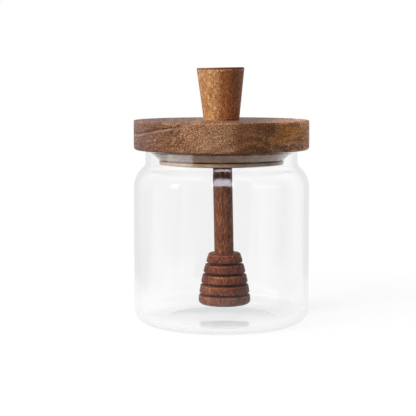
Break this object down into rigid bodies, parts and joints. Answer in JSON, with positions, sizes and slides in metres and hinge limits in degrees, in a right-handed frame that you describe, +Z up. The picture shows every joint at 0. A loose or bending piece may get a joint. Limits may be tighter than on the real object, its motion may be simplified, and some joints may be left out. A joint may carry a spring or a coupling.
{
  "type": "honey jar with dipper",
  "caption": "Clear glass jar with a rounded shoulder, closed by a thick round wooden lid; its tapered knob carries a rod with a grooved honey-dipper head inside.",
  "frame": {"origin": "centre of the circle on which the jar stands, at the height of the surface under it", "axes": "+Z up along the jar's axis, towards the knob; -Y is the front; the dipper leans in the XZ plane, with its knob towards -X"},
  "size_m": [0.094, 0.094, 0.137],
  "materials": {
    "clear_glass": "clear, smooth and fire polished",
    "lid_wood": "oiled, fine sanded, mid brown",
    "silicone": "translucent grey, smooth",
    "knob_wood": "oiled, golden brown",
    "rod_wood": "oiled, dark reddish brown",
    "head_wood": "turned, oiled, reddish brown"
  },
  "bodies": {
    "root": {"glass_jar": "clear_glass", "lid": "lid_wood", "seal_ring": "silicone", "knob": "knob_wood", "dipper_rod": "rod_wood", "dipper_head": "head_wood"}
  },
  "joints": []
}
